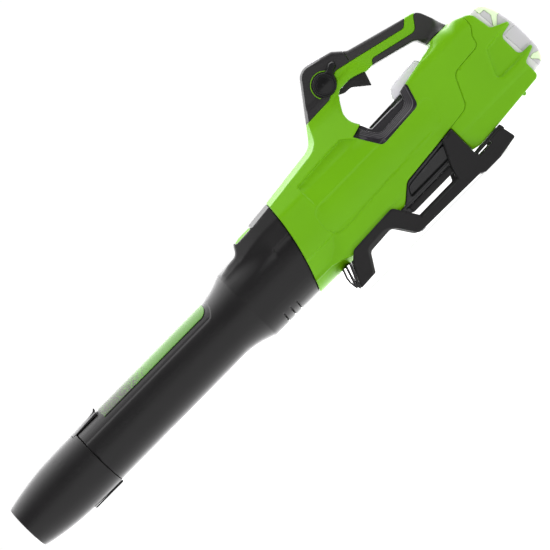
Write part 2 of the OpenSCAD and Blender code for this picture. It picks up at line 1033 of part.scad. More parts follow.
nozzle_tip();
nozzle_latch();
nozzle_wear_strip();
blower_tube();
tube_decal();
release_lever();
release_pin();
release_spring();
fan_duct();
motor_pod();
tail_cone();
motor_stator();
stator_windings();
motor_rotor();
motor_shaft();
front_bearing();
rear_bearing();
fan_impeller();
fan_spinner();
inlet_bell();
intake_scoop();
intake_grille();
housing_left();
housing_right();
battery_housing();
control_cover();
grip_top_pad();
grip_lower_pad();
trigger();
trigger_pin();
trigger_spring();
trigger_switch();
turbo_button();
turbo_spring();
turbo_switch();
cruise_dial();
dial_ring();
cruise_sensor();
saddle_vent();
intake_guard();
guard_slats();
guard_bolts();
housing_screws();
battery_case();
battery_end_cap();
battery_end_pads();
battery_cells();
battery_sockets();
battery_release();
release_axle();
battery_spring();
terminal_block();
terminal_blades();
controller_board();
heat_sink();
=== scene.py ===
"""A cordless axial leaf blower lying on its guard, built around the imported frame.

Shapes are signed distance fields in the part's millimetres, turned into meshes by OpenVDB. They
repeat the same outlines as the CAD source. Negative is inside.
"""

import math
from functools import reduce

import bmesh
import bpy
import numpy as np
import openvdb as vdb
from mathutils import Matrix, Vector


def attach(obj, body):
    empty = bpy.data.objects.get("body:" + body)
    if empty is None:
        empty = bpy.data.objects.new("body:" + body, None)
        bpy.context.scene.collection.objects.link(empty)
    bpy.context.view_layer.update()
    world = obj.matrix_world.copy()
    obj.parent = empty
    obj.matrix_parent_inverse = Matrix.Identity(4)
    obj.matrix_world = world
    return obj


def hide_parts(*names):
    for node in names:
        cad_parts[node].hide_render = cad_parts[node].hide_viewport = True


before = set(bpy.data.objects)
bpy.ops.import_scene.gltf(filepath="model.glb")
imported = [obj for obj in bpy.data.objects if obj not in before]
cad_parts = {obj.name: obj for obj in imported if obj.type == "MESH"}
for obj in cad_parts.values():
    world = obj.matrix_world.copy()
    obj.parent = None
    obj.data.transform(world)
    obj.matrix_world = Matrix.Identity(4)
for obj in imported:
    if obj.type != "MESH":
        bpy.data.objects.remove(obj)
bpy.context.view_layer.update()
F = np.float32

# ---- The shared dimensions, in millimetres ----

AXIS_Z = 98.5
TUBE_R = 43.0
COLLAR_R = 54.3
DUCT_R = 52.0
BODY_HALF = 57.2
BAY_HALF = 55.0
GRIP_HALF = 19.0
WALL = 3.0
PACK_AT = (300.0, 37.4)
PACK_COS, PACK_SIN = math.cos(math.radians(4.0)), math.sin(math.radians(4.0))
PACK_L, PACK_W, PACK_H = 158.0, 92.0, 112.0
DIAL_X, DIAL_Z = 224.5, 226.7
DECAL_X = (-281.0, -91.0)
DECAL_HALF = 30.5
NOZZLE_X = (-455.0, -324.0)
NOZZLE_R = (32.5, 44.2)

# ---- Outlines, as [x, z, corner radius] ----


def seam_x(z):
    """Where the collar meets the housing: the joint leans back and bows rearward."""
    t = (z - 45.0) / 126.0
    return 31.3 + 53.4 * t - 22.8 * t * t


PARTING = [
    (411.3, 165.5, 0), (409.8, 146, 14), (401, 134.5, 8), (398.5, 121.5, 9), (351, 118, 14),
    (331, 76, 14), (297.4, 72, 0),
]
HANDLE_TOP = [
    (152.5, 183.8, 25), (214.3, 264.2, 19), (261, 252, 8), (277, 237.8, 12), (376.6, 209.9, 17),
    (391.6, 170.2, 6),
]
BELLY = [(209, 63.5, 12), (180.5, 39.3, 3), (95, 38.6, 6), (50, 40.6, 20)]
BAY_REAR = [
    (420.4, 157.2, 14), (425.5, 126, 5), (447, 116, 2.2), (446.5, 111.8, 2), (427.3, 108, 7),
    (427.3, 75, 7), (447.5, 74.6, 2), (446.5, 70.4, 2), (425.7, 62.5, 5), (425.7, 38.4, 7),
    (297.4, 27.4, 5),
]
HAND_HOLE = [
    (226, 147.6, 2), (209.5, 176, 24), (227, 203.5, 10), (288, 200.6, 24), (349.5, 184.2, 9),
    (355.2, 166.8, 3), (334, 161, 4), (298, 154, 2), (272, 149, 0),
]
VALLEY = [
    (201, 153, 0), (221.5, 118.4, 8), (289, 122.2, 9), (298.2, 150, 0), (296, 156, 0),
    (219, 158, 0),
]
COVER = [
    (171.5, 207.6, 0), (216, 208.9, 6), (246, 230.5, 10), (268.9, 225.2, 0), (276.9, 262, 0),
    (205, 270, 0), (160, 215, 0),
]
TOP_PAD = [(269, 225.2, 0), (349, 205.6, 6), (358, 213.8, 3), (366, 222, 0), (277, 262, 0)]
LOWER_PAD = [
    (283.5, 196, 0), (292, 207.8, 6), (357, 192.3, 10), (369, 208, 4), (382, 214, 0),
    (402, 170.5, 0), (372, 169.2, 8), (340, 169.8, 0), (340, 182, 0),
]
GUARD = [
    (69.6, 8.8, 1.5), (97.4, 10, 3), (112.5, 33.4, 8), (153.5, 35.6, 12), (173, 5.8, 9),
    (283, 3.8, 2), (289.5, 0, 2), (316, 0, 6), (348.6, 5.2, 3), (344, 27.4, 9), (296.8, 25.2, 1),
    (296.8, 70.8, 1), (278, 68.2, 2), (266, 44, 12), (255.5, 20.9, 3), (191, 20.6, 4),
    (170.5, 53.9, 7), (98, 50.8, 6), (86.6, 40.6, 3),
]
PACK = [
    (0, 0, 4), (PACK_L - 12, 0, 14), (PACK_L - 3, 19, 24), (PACK_L, 60, 40), (PACK_L - 4, 92, 30),
    (PACK_L - 13, PACK_H, 14), (0, PACK_H, 6),
]
TRIGGER = [
    (229.4, 204.8, 0.4), (236, 201.2, 10), (247, 200.8, 10), (268, 183.2, 1.2), (275, 203.5, 1),
    (275.4, 214, 3), (232, 214.6, 4),
]
TRIGGER_NOTCH = [
    (227.5, 196, 0), (227.5, 204.4, 3), (234.5, 208.8, 8), (254, 209.2, 16), (271, 203.8, 10),
    (282, 196, 0),
]


def rounded(points, step=7.0):
    """An outline of [x, z, corner radius] as a plain list of points, its corners rounded."""
    out = []
    for i, (x, z, r) in enumerate(points):
        p = np.array((x, z), float)
        u = np.array(points[i - 1][:2], float) - p
        w = np.array(points[(i + 1) % len(points)][:2], float) - p
        u /= np.linalg.norm(u)
        w /= np.linalg.norm(w)
        half = math.acos(max(-1.0, min(1.0, float(u @ w)))) / 2
        if r == 0 or half > math.radians(89):
            out.append(tuple(p))
            continue
        reach = r / math.tan(half)
        c = p + (u + w) / np.linalg.norm(u + w) * r / math.sin(half)
        a = p + u * reach - c
        b = p + w * reach - c
        a0 = math.atan2(a[1], a[0])
        sweep = math.atan2(b[1], b[0]) - a0
        sweep = (sweep + math.pi) % (2 * math.pi) - math.pi
        steps = max(2, math.ceil(abs(math.degrees(sweep)) / step))
        for k in range(steps + 1):
            t = a0 + sweep * k / steps
            out.append((c[0] + r * math.cos(t), c[1] + r * math.sin(t)))
    return out


# ---- Distance fields ----


class Grid:
    """A block of space sampled every h millimetres. x, y and z broadcast against one another."""

    def __init__(self, low, high, h):
        self.h = h
        self.low = np.array(low, float)
        self.resize([max(1, int(math.ceil((b - a) / h)) + 1) for a, b in zip(low, high)])

    def resize(self, shape):
        self.u = [(a + self.h * np.arange(k)).astype(F) for a, k in zip(self.low, shape)]
        self.x = self.u[0][:, None, None]
        self.y = self.u[1][None, :, None]
        self.z = self.u[2][None, None, :]
        self.shape = tuple(shape)

    def side(self, points):
        """The distance from a side-view (x, z) outline, as a slab without end along Y."""
        return poly2(points, self.u[0], self.u[2])[:, None, :]

    def outline(self, points):
        """The same for an outline of [x, z, corner radius]."""
        return self.side(rounded(points))

    def front(self, points):
        """The distance from a front-view (y, z) outline, as a bar without end along X."""
        return poly2(points, self.u[1], self.u[2])[None, :, :]

    def plan(self, points):
        """The distance from a plan-view (x, y) outline, as a post without end along Z."""
        return poly2(points, self.u[0], self.u[1])[:, :, None]


def poly2(points, u, v):
    """Signed distance from a closed polygon on the grid u by v, negative inside."""
    p = np.array(points, F)
    uu = u[:, None]
    vv = v[None, :]
    best = np.full((len(u), len(v)), 1e9, F)
    inside = np.zeros((len(u), len(v)), bool)
    for a, b in zip(p, np.roll(p, -1, axis=0)):
        e = b - a
        length = float(e @ e)
        if length < 1e-9:
            continue
        du = uu - a[0]
        dv = vv - a[1]
        t = np.clip((du * e[0] + dv * e[1]) / length, 0, 1)
        best = np.minimum(best, (du - t * e[0]) ** 2 + (dv - t * e[1]) ** 2)
        if a[1] != b[1]:
            crosses = (a[1] <= vv) != (b[1] <= vv)
            inside ^= crosses & (uu < a[0] + (vv - a[1]) * (e[0] / e[1]))
    return np.where(inside, F(-1), F(1)) * np.sqrt(best)


def union(*fields):
    return reduce(np.minimum, fields)


def common(*fields):
    return reduce(np.maximum, fields)


def cut(field, *tools):
    return common(field, *(-t for t in tools))


def blend_union(a, b, k):
    """Union whose inner corner is filled with a soft fillet about k wide."""
    h = np.maximum(k - np.abs(a - b), 0) / k
    return np.minimum(a, b) - h * h * (k / 4)


def round_common(a, b, r):
    """What a and b share, with the edge between them rounded to radius r."""
    u = np.maximum(a + r, 0)
    v = np.maximum(b + r, 0)
    return np.minimum(-r, np.maximum(a, b)) + np.sqrt(u * u + v * v)


def round_cut(a, b, r):
    return round_common(a, -b, r)


def steep(up, out):
    """A face that leans 65 degrees from the side, which catches the light from behind."""
    return up * 0.906 + out * 0.423


def ramp(value, low, high):
    """0 below low, 1 above high, smooth between."""
    t = np.clip((value - low) / (high - low), 0, 1)
    return t * t * (3 - 2 * t)


def span(value, low, high):
    """Distance field of a slab between two planes."""
    return np.maximum(low - value, value - high)


def tube_radius(g):
    """Distance from the air path's axis."""
    return np.sqrt(g.y**2 + (g.z - AXIS_Z) ** 2)


def rounded_block(a, b, c, r):
    """What three slabs share, each given r smaller, grown back with round edges and corners."""
    far = np.sqrt(np.maximum(a, 0) ** 2 + np.maximum(b, 0) ** 2 + np.maximum(c, 0) ** 2)
    return far + np.minimum(common(a, b, c), 0) - r


def box(g, x0, x1, y0, y1, z0, z1, r=0.0):
    """A box with rounded edges and corners."""
    wide = span(g.y, y0 + r, y1 - r)
    return rounded_block(span(g.x, x0 + r, x1 - r), wide, span(g.z, z0 + r, z1 - r), r)


def from_axis(g, x, z):
    """Distance from an axis that runs across the machine at (x, z)."""
    return np.sqrt((g.x - x) ** 2 + (g.z - z) ** 2)


def rod_y(g, x, z, r, y0=-1e4, y1=1e4, edge=0.0):
    """A cylinder across the machine, its rims rounded by edge."""
    side, ends = from_axis(g, x, z) - r, span(g.y, y0, y1)
    return round_common(side, ends, edge) if edge else np.maximum(side, ends)


def revolve(g, profile):
    """A profile of (x, r) points turned about the air path."""
    r_max = float(np.abs(g.u[1]).max() + np.abs(g.u[2] - AXIS_Z).max()) + g.h
    ur = np.arange(-2 * g.h, r_max, g.h * 0.5).astype(F)
    flat = poly2(profile, g.u[0], ur)
    radius = np.broadcast_to(tube_radius(g), (1, g.shape[1], g.shape[2]))[0]
    k = (radius - ur[0]) / (g.h * 0.5)
    i = np.clip(k.astype(int), 0, len(ur) - 2)
    t = (k - i).astype(F)
    return flat[:, i] * (1 - t) + flat[:, i + 1] * t


def sample(field, at):
    """The field between its grid points, at a list of grid coordinates."""
    top = np.array(field.shape) - 2
    i = np.clip(np.floor(at).astype(int), 0, top)
    t = (at - i).astype(F)
    x, y, z = i.T
    a, b, c = t.T
    out = 0
    for dx in (0, 1):
        for dy in (0, 1):
            for dz in (0, 1):
                w = (a if dx else 1 - a) * (b if dy else 1 - b) * (c if dz else 1 - c)
                out = out + field[x + dx, y + dy, z + dz] * w
    return out


def gradient(field, at):
    """The field's direction of growth at a list of grid coordinates, with length one."""
    g = np.empty_like(at)
    for axis in range(3):
        step = np.zeros(3)
        step[axis] = 0.6
        g[:, axis] = sample(field, at + step) - sample(field, at - step)
    return g / np.maximum(np.linalg.norm(g, axis=1, keepdims=True), 1e-9)


def surface(field, g, adapt=0.0):
    """Vertices in mm, faces and vertex normals of the field's zero surface."""
    field = np.array(np.broadcast_to(field, g.shape), dtype=F, order="C")
    for axis in range(3):
        for end in (0, -1):
            edge = [slice(None)] * 3
            edge[axis] = end
            field[tuple(edge)] = np.maximum(field[tuple(edge)], 0.5 * g.h)
    vol = vdb.FloatGrid(float(3 * g.h))
    vol.copyFromArray(np.clip(field, -3 * g.h, 3 * g.h))
    points, tris, quads = vol.convertToPolygons(0.0, adapt)
    points = points.astype(float)
    for _ in range(2):
        n = gradient(field, points)
        d = sample(field, points) / g.h
        points = points - n * np.clip(d, -0.4, 0.4)[:, None]
    normals = gradient(field, points)
    return points * g.h + g.low, tris, quads, normals


def mesh_from(name, points, tris, quads, normals=None):
    """A Blender mesh in metres from arrays in millimetres."""
    counts = [3] * len(tris) + [4] * len(quads)
    loops = np.concatenate(
        [np.asarray(tris, np.int32).reshape(-1), np.asarray(quads, np.int32).reshape(-1)]
    )
    mesh = bpy.data.meshes.new(name)
    mesh.vertices.add(len(points))
    mesh.vertices.foreach_set("co", (np.asarray(points) * 0.001).astype(F).reshape(-1))
    mesh.loops.add(len(loops))
    mesh.loops.foreach_set("vertex_index", loops)
    mesh.polygons.add(len(counts))
    starts = np.concatenate([[0], np.cumsum(counts)[:-1]]).astype(np.int32)
    mesh.polygons.foreach_set("loop_start", starts)
    mesh.update(calc_edges=True)
    mesh.validate()
    mesh.polygons.foreach_set("use_smooth", np.ones(len(mesh.polygons), bool))
    if normals is not None and len(normals) == len(mesh.vertices):
        mesh.normals_split_custom_set_from_vertices(normals.astype(F))
    return mesh


def piece(name, mesh, body, mat):
    """A visible piece that rides on a body and stands for the CAD node of its name."""
    o = bpy.data.objects.new(name, mesh)
    bpy.context.scene.collection.objects.link(o)
    o.data.materials.append(mat)
    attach(o, body)
    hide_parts(name)


def carved(name, field, g, mat, body="machine", adapt=0.02, mirror=False):
    """A piece made from a field. mirror flips it to the machine's other side."""
    points, tris, quads, normals = surface(field, g, adapt)
    if mirror:
        points, normals = points * [1, -1, 1], normals * [1, -1, 1]
        tris, quads = tris[:, ::-1], quads[:, ::-1]
    piece(name, mesh_from(name, points, tris, quads, normals), body, mat)


def half_grid(x0, x1, half, z0, z1, h):
    """A grid over one side of the machine, with one layer of samples exactly at y = 0."""
    return Grid((x0, -math.ceil(half / h) * h, z0), (x1, h * 0.5, z1), h)


def mirrored(name, field, g, mat, body="machine", adapt=0.02):
    """A piece with two sides alike, from a field over half_grid that is known for y up to 0."""
    k = int(round(-g.low[1] / g.h))
    field = np.broadcast_to(field, g.shape)
    full = np.concatenate([field[:, : k + 1], field[:, :k][:, ::-1]], axis=1)
    wide = Grid(g.low, (0, 0, 0), g.h)
    wide.resize(full.shape)
    carved(name, full, wide, mat, body, adapt)


# ---- Materials ----


def node_material(name, colour, rough, metallic=0.0, coat=0.0, specular=0.5):
    """A material whose constants sit on the shader's own sockets, and its shader."""
    m = bpy.data.materials.new(name)
    m.use_nodes = True
    shader = m.node_tree.nodes["Principled BSDF"]
    shader.inputs["Base Color"].default_value = (*colour, 1)
    shader.inputs["Roughness"].default_value = rough
    shader.inputs["Metallic"].default_value = metallic
    shader.inputs["Coat Weight"].default_value = coat
    shader.inputs["Specular IOR Level"].default_value = specular
    return m, shader


def add(m, kind, **values):
    """A new node in the tree of a material or a world."""
    n = m.node_tree.nodes.new(kind)
    for key, value in values.items():
        setattr(n, key, value)
    return n


def link(m, a, b):
    m.node_tree.links.new(a, b)


def tint(colour, k):
    return tuple(min(1.0, c * k) for c in colour)


def noise(m, where, scale, detail):
    n = add(m, "ShaderNodeTexNoise")
    n.inputs["Scale"].default_value = scale
    n.inputs["Detail"].default_value = detail
    link(m, where, n.inputs["Vector"])
    return n.outputs["Fac"]


def two_tone(m, value, dark, light, low=0.0, high=1.0):
    """A colour that goes from dark, where the value is low, to light, where it is high."""
    n = add(m, "ShaderNodeValToRGB")
    for stop, place, colour in zip(n.color_ramp.elements, (low, high), (dark, light)):
        stop.position = place
        stop.color = (*colour, 1)
    link(m, value, n.inputs["Fac"])
    return n.outputs["Color"]


def mapped(m, value, low, high, to_low=0.0, to_high=1.0, kind="LINEAR"):
    """A value taken from low..high to to_low..to_high and held at the ends."""
    n = add(m, "ShaderNodeMapRange", interpolation_type=kind)
    ends = {"From Min": low, "From Max": high, "To Min": to_low, "To Max": to_high}
    for socket, number in ends.items():
        n.inputs[socket].default_value = number
    link(m, value, n.inputs["Value"])
    return n.outputs["Result"]


def plastic(
    name, colour, rough=0.42, grain=0.12, size=1400.0, vary=0.06, coat=0.0, specular=0.5,
    spread=0.05,
):
    """Moulded plastic: a fine spark-eroded grain, a slow tone drift and uneven gloss."""
    m, shader = node_material(name, colour, rough, 0.0, coat, specular)
    where = add(m, "ShaderNodeTexCoord").outputs["Object"]
    slow = noise(m, where, 14.0, 3.0)
    tone = two_tone(m, slow, tint(colour, 1 - vary), tint(colour, 1 + vary), 0.3, 0.7)
    link(m, tone, shader.inputs["Base Color"])
    fine = noise(m, where, size, 2.0)
    gloss = mapped(m, slow, 0.25, 0.75, rough - spread, rough + spread)
    link(m, gloss, shader.inputs["Roughness"])
    bump = add(m, "ShaderNodeBump")
    bump.inputs["Strength"].default_value = grain
    bump.inputs["Distance"].default_value = 0.0002
    link(m, fine, bump.inputs["Height"])
    link(m, bump.outputs["Normal"], shader.inputs["Normal"])
    return m


def metal(name, colour, rough=0.28):
    """Machined metal with fine turning marks across it."""
    m, shader = node_material(name, colour, rough, 1.0)
    stretch = add(m, "ShaderNodeMapping")
    stretch.inputs["Scale"].default_value = (1.0, 60.0, 60.0)
    link(m, add(m, "ShaderNodeTexCoord").outputs["Object"], stretch.inputs["Vector"])
    marks = noise(m, stretch.outputs["Vector"], 30.0, 4.0)
    link(m, two_tone(m, marks, tint(colour, 0.8), colour), shader.inputs["Base Color"])
    gloss = mapped(m, marks, 0.0, 1.0, rough - 0.08, rough + 0.12)
    link(m, gloss, shader.inputs["Roughness"])
    return m


def label_print():
    """The tube's printed label: green behind, breaking up into dots over grey in front."""
    m = plastic("label_print", (0.10, 0.24, 0.05), grain=0.05, specular=0.2)
    where = add(m, "ShaderNodeTexCoord").outputs["Object"]
    part = add(m, "ShaderNodeSeparateXYZ")
    link(m, where, part.inputs["Vector"])
    fade = mapped(m, part.outputs["X"], -0.245, -0.150)
    dots = add(m, "ShaderNodeTexVoronoi")
    dots.inputs["Scale"].default_value = 420.0
    link(m, where, dots.inputs["Vector"])
    broken = add(m, "ShaderNodeMath", operation="SUBTRACT")
    link(m, fade, broken.inputs[0])
    link(m, dots.outputs["Distance"], broken.inputs[1])
    sharp = mapped(m, broken.outputs["Value"], -0.34, -0.24)
    mix = add(m, "ShaderNodeMix", data_type="RGBA")
    mix.inputs[6].default_value = (0.085, 0.090, 0.075, 1)
    mix.inputs[7].default_value = (0.10, 0.24, 0.045, 1)
    link(m, sharp, mix.inputs[0])
    link(m, mix.outputs[2], m.node_tree.nodes["Principled BSDF"].inputs["Base Color"])
    return m


GREEN = plastic(
    "green_plastic", (0.128, 0.356, 0.0), rough=0.40, grain=0.08, vary=0.03, specular=0.22
)
BLACK = plastic(
    "black_plastic", (0.0075, 0.007, 0.0075), rough=0.37, grain=0.10, vary=0.08, specular=0.26
)
GLOSS = plastic(
    "gloss_black", (0.008, 0.008, 0.009), rough=0.16, grain=0.02, vary=0.1, coat=0.2, spread=0.03,
    specular=0.3,
)
RUBBER = plastic(
    "grip_rubber", (0.021, 0.020, 0.020), rough=0.56, grain=0.30, size=900.0, vary=0.08,
    specular=0.32,
)
PALE_GREY = plastic("battery_grey", (0.62, 0.61, 0.62), rough=0.5, vary=0.03)
PALE_GREEN = plastic("battery_green", (0.70, 0.84, 0.56), rough=0.45, grain=0.10, vary=0.03)
PAD_GREY = plastic("battery_pads", (0.50, 0.49, 0.51), rough=0.5, vary=0.03)
LAVENDER = plastic("release_plastic", (0.88, 0.86, 0.92), rough=0.3, grain=0.06, vary=0.04)
DIM_BLACK = plastic("inner_black", (0.014, 0.014, 0.015), rough=0.5, grain=0.1, vary=0.1)
BOARD = plastic("board_green", (0.010, 0.085, 0.030), rough=0.35, grain=0.25, size=500.0, vary=0.2)
CELL = plastic("cell_wrap", (0.05, 0.20, 0.42), rough=0.3, grain=0.04, vary=0.05)
STEEL = metal("steel", (0.56, 0.57, 0.58))
COPPER = metal("copper", (0.80, 0.42, 0.20), rough=0.32)
ALUMINIUM = metal("aluminium", (0.74, 0.75, 0.76), rough=0.34)
GLOSS_KNOB = plastic(
    "knob_black", (0.0035, 0.0035, 0.004), rough=0.30, grain=0.03, vary=0.1, coat=0.08, spread=0.04,
    specular=0.2,
)
VENT_BLACK = plastic(
    "vent_plastic", (0.011, 0.009, 0.013), rough=0.18, grain=0.02, vary=0.1, spread=0.03,
    specular=0.42,
)
COVER_BLACK = plastic("cover_plastic", (0.014, 0.013, 0.014), specular=0.3)
DECAL = label_print()


# ---- Housing ----


def seam_outline():
    """Everything behind the joint between the collar and the housing."""
    line = [(seam_x(z), z) for z in np.arange(20, 205, 5.0)]
    return [(line[0][0], -50), *line, (line[-1][0], 400), (900, 400), (900, -50)]


SILHOUETTE = [
    (-60, 43.6, 0), (-60, 161.2, 0), (62.2, 173.5, 0), *HANDLE_TOP, *BAY_REAR,
    (297.4, 71.6, 0), *BELLY,
]


def body_front(g):
    """The main body seen from the front: round below, square-shouldered, slim at the handle."""
    h = BODY_HALF
    circle = tube_radius(g) - h
    right = [
        (h, 84, 0), (h - 0.4, 120, 60), (h - 2.2, 148, 16), (GRIP_HALF + 0.4, 206, 16),
        (GRIP_HALF, 216, 0),
    ]
    left = [(-y, z, r) for y, z, r in reversed(right)]
    return blend_union(circle, g.front(rounded(right + left)), 4)


def bay_front(g):
    """The battery housing seen from the rear."""
    h = BAY_HALF
    return g.front(rounded([(-h, 26, 6), (h, 26, 6), (h, 172, 24), (-h, 172, 24)]))


def belly_front(g):
    h = BODY_HALF
    return g.front(rounded([(-h, 100, 0), (-h, 42, 10), (h, 42, 10), (h, 100, 0)]))


def outside(g):
    """The green body's outer faces with their reliefs, before anything is cut through."""
    side = g.outline(SILHOUETTE)
    to_bay = ramp(g.x, 262, 322)
    body = union(body_front(g), belly_front(g) + 14 * (1 - ramp(g.x, 60, 104)))
    section = body * (1 - to_bay) + bay_front(g) * to_bay
    strip = span(g.y, -GRIP_HALF, GRIP_HALF)
    strip = np.maximum(strip, span(g.z, 150, 300))
    section = blend_union(section, strip, 9) + relief(g)
    # a flat bevel runs along the top and up the front of the handle, and the rest is rounded
    leg = ramp(g.z, 120, 140) * (1 - 0.62 * ramp(g.z, 182, 212)) * (1 - ramp(g.x, 204, 226))
    soft = 2.0 + 4.5 * ramp(g.z, 206, 226) * ramp(g.x, 214, 250)
    shoulder = ramp(g.x, 342, 372) * (1 - ramp(g.x, 384, 402))
    soft = soft + 18.0 * shoulder * ramp(g.z, 120, 160) * (1 - ramp(g.z, 176, 190))
    return np.maximum(
        round_common(side, section, soft.astype(F)),
        np.where(leg > 0.001, steep(side, section) + 6.4 * leg, -9).astype(F),
    )


def housing_field(g):
    """The green body before it is split, with its openings but without its cavity."""
    around = 3.0 + 10.0 * ramp(g.x, 330, 346) * ramp(g.z, 154, 162) * (1 - ramp(g.z, 172, 182))
    shape = round_cut(outside(g), g.outline(HAND_HOLE), around.astype(F))
    shape = round_cut(shape, g.outline(TRIGGER_NOTCH), 1.2)
    return round_cut(shape, g.outline(VALLEY), 1.2)


def relief(g):
    """How far the moulded panels are sunk below the side faces."""
    # scallop under the top bevel: a crisp upper lip with a hollow that fades out downward
    scallop = g.outline([
        (104, 90, 0), (103.3, 159.6, 5), (152, 162.6, 0), (186.5, 163.8, 7), (194, 157.4, 5),
        (203, 148.6, 0), (230, 140, 0), (230, 90, 0),
    ])
    into = np.clip(-scallop / 15, 0, 1)
    deep = (2.2 * ramp(into, 0, 0.12) + 3.0 * (1 - (1 - into) ** 2)) * ramp(g.z, 108, 152)
    label = g.outline([
        (104, 124, 12), (94, 117, 12), (90.6, 96, 16), (96.6, 79.8, 9), (112, 76.8, 9),
        (219.6, 82.6, 0), (300, 86, 14), (310, 124, 10),
    ])
    deep = deep + 1.3 * ramp(-label, 0.0, 1.8) * (1 - 0.8 * ramp(g.x, 150, 290))
    # a hollow above the guard's front mount, and a drawn-in edge along the guard
    mount = np.sqrt((g.x - 78) ** 2 + (g.z - 34) ** 2 * 1.2) - 22
    deep = deep + 1.9 * ramp(-mount, 0.0, 6.0) * ramp(g.z, 42, 52)
    belly = g.z - 57.5
    deep = deep + 1.0 * ramp(-belly, 0.0, 3.0) * ramp(g.x, 84, 100)
    # the band between the forks sits a little lower than the bay's side
    fork = g.outline([
        (384, 76.5, 10), (401.5, 110.7, 3), (404.5, 112.6, 3), (424, 114.6, 0), (460, 116, 0),
        (460, 72, 0), (424, 70, 0), (388, 70, 8),
    ])
    deep = deep + 3.2 * ramp(-fork, 0.0, 3.4)
    return deep.astype(F)


def main_side(g):
    """Everything ahead of the parting line with the battery housing."""
    line = rounded([(297.4, -40, 0), (-100, -40, 0), (-100, 400, 0), (412.5, 400, 0), *PARTING])
    return g.side(line)


def parting_tongue(outer, ahead):
    """A lip of the battery housing that reaches in under the main shell's edge."""
    return common(outer + 1.7, -(outer + 3.2), ahead - 6.0, -ahead - 2.4)


def pack_axes(g):
    """Coordinates along the tilted battery and up from its underside."""
    dx, dz = g.x - PACK_AT[0], g.z - PACK_AT[1]
    return dx * PACK_COS + dz * PACK_SIN, -dx * PACK_SIN + dz * PACK_COS


def pack_space(g, clear):
    """The battery's own tilted space inside the bay."""
    along, up = pack_axes(g)
    u = span(along, -clear, PACK_L + 80)
    v = span(g.y, -PACK_W / 2 - clear, PACK_W / 2 + clear)
    w = span(up, -clear, PACK_H + clear)
    return round_common(round_common(u, v, 2), w, 2)


SCREWS = [(76, 161), (112, 163.5), (142, 170), (194, 172), (346, 158.4), (380, 161.5)]


def build_housing():
    g = Grid((24, -60, 22), (415, 1.0, 268), 1.0)
    outer = housing_field(g)
    pads = union(g.outline(TOP_PAD), g.outline(LOWER_PAD))
    cover = g.outline(COVER)
    seam = g.side(seam_outline())
    ahead = main_side(g)
    shell = round_common(outer, seam, 0.8)
    shell = round_common(shell, ahead + 0.01, 0.5)
    shell = np.maximum(shell, g.y + 0.1)
    # the cavity, the motor's bore and the rooms for battery, trigger, battery release and scoop
    hollow = cut(
        shell,
        np.maximum(outer + WALL, -(pads - 1.0)),
        np.maximum(tube_radius(g) - (DUCT_R + 2.2), span(g.x, 24, 110)),
        pack_space(g, 0.6),
        box(g, 226.5, 279, -9.7, 9.7, 196, 213, 1),
        box(g, 268, 337, -15, 15, 140, 180, 1),
        box(g, 188, 279, -51, 51, 20, 72, 2),
    )
    hollow = round_cut(hollow, cover, 0.6)
    # the grips sit in beds 2.4 mm deep, with solid plastic behind
    bed = np.maximum(pads, -(outer + 2.4))
    hollow = round_cut(hollow, bed, 0.5)
    hollow = cut(hollow, parting_tongue(outer, ahead) - 0.2)
    carved("housing_left", hollow, g, GREEN)
    screws = union(*[rod_y(g, x, z, 3.4, -80, -9, 0) for x, z in SCREWS])
    right = cut(hollow, screws)
    carved("housing_right", right, g, GREEN, mirror=True)


def build_bay():
    g = half_grid(286, 452, 60, 22, 182, 1.0)
    outer = housing_field(g)
    ahead = main_side(g)
    rear = round_common(outer, -(ahead - 0.01), 0.5)
    rear = np.maximum(rear, 290 - g.x)
    hollow = np.maximum(outer + WALL, span(g.x, 280, 318))
    rear = cut(rear, pack_space(g, 0.6), hollow)
    tongue = cut(parting_tongue(outer, ahead), pack_space(g, 0.6))
    rear = union(rear, tongue, rod_y(g, 399, 35.2, 3.0, -12, 12, 0.8))
    mirrored("battery_housing", rear, g, GREEN)


# ---- Handle ----


def skin(name, outline, low, high, thick, mat, extra=None, sink=0.0):
    """A cover or grip: the housing's own surface inside an outline, hollowed to a skin."""
    g = half_grid(low[0], high[0], 24, low[1], high[1], 0.7)
    outer = housing_field(g) + sink
    inside = g.outline(outline) + 0.2
    shape = np.maximum(round_common(outer, inside, 0.5), -(outer + thick))
    if extra:
        shape = extra(shape, g)
    mirrored(name, shape, g, mat)


def turbo_frame(g):
    """Coordinates along, across and out of the turbo button's sloped seat."""
    a = math.radians(14.6)
    dx, dz = g.x - 238.5, g.z - 257.9
    return dx * math.cos(a) - dz * math.sin(a), g.y, dx * math.sin(a) + dz * math.cos(a)


def turbo_box(g, half_u, half_v, low, high, r):
    """A rounded box on the turbo button's seat."""
    u, v, w = turbo_frame(g)
    long, wide = np.abs(u) - (half_u - r), np.abs(v) - (half_v - r)
    return rounded_block(long, wide, span(w, low + r, high - r), r)


def build_skins():
    def cover(shape, g):
        # a steep bevel follows the cover's front and top edge
        edge = g.outline(SILHOUETTE)
        leg = 2.6 * ramp(g.z, 196, 206) * (1 - ramp(g.x, 240, 262))
        bevel = steep(edge, -GRIP_HALF - g.y) + leg
        shape = np.maximum(shape, np.where(leg > 0.01, bevel, -9).astype(F))
        shape = round_cut(shape, turbo_box(g, 13.6, 6.1, -8, 12, 2), 0.6)
        return cut(shape, rod_y(g, DIAL_X, DIAL_Z, 5.2, -40, 0))

    skin("control_cover", COVER, (158, 204), (278, 268), WALL, COVER_BLACK, cover)
    skin("grip_top_pad", TOP_PAD, (266, 202), (370, 254), 2.3, RUBBER, sink=0.25)
    skin("grip_lower_pad", LOWER_PAD, (280, 166), (404, 214), 2.3, RUBBER, sink=0.25)


